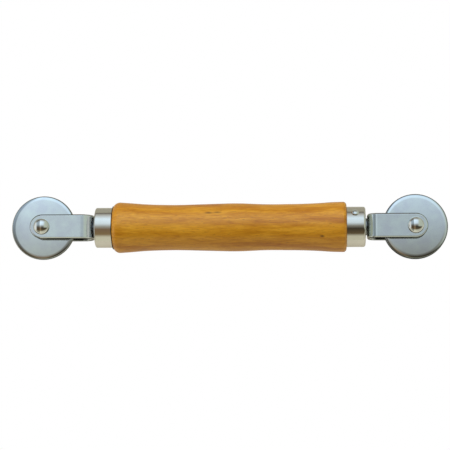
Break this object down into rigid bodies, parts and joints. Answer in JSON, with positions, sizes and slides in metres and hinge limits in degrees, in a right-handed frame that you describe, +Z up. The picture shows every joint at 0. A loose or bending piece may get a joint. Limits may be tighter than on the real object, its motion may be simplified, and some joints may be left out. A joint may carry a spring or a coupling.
{
  "type": "screen spline roller",
  "caption": "Turned wooden handle with a plated ferrule, a U-shaped steel fork and a free-spinning steel disc wheel at each end; one rim is rounded, the other grooved.",
  "frame": {"origin": "on the surface that the tool lies on, under the middle of the tool's bounding box", "axes": "+X along the handle, from the convex wheel to the grooved wheel; +Z up, along both wheel axles; +Y across the tool"},
  "size_m": [0.2168, 0.032, 0.0251],
  "materials": {
    "lacquered_wood": "light hardwood under amber gloss lacquer",
    "fork_zinc": "bright zinc plate, satin",
    "wheel_zinc": "bright zinc plate, satin, slightly blue",
    "ferrule_nickel": "bright nickel plate over drawn steel",
    "rivet_steel": "bright plated rivet and pin heads",
    "plain_steel": "plain machined steel",
    "bush_bronze": "sintered bronze bush"
  },
  "bodies": {
    "body": {"axle_bush_left": "bush_bronze", "axle_bush_right": "bush_bronze", "axle_rivet_left": "rivet_steel", "axle_rivet_right": "rivet_steel", "ferrule_left": "ferrule_nickel", "ferrule_pin_left": "rivet_steel", "ferrule_pin_right": "rivet_steel", "ferrule_right": "ferrule_nickel", "fork_left": "fork_zinc", "fork_right": "fork_zinc", "handle": "lacquered_wood", "spacer_left_down": "plain_steel", "spacer_left_up": "plain_steel", "spacer_right_down": "plain_steel", "spacer_right_up": "plain_steel", "tang_left": "plain_steel", "tang_right": "plain_steel"},
    "convex_wheel": {"convex_wheel": "wheel_zinc"},
    "grooved_wheel": {"grooved_wheel": "wheel_zinc"}
  },
  "joints": [
    {"name": "convex_wheel_spin", "type": "hinge", "parent": "body", "child": "convex_wheel", "pos_m": [-0.0924, 0, 0.01255], "axis": [0, 0, 1], "continuous": true},
    {"name": "grooved_wheel_spin", "type": "hinge", "parent": "body", "child": "grooved_wheel", "pos_m": [0.0924, 0, 0.01255], "axis": [0, 0, 1], "continuous": true}
  ]
}
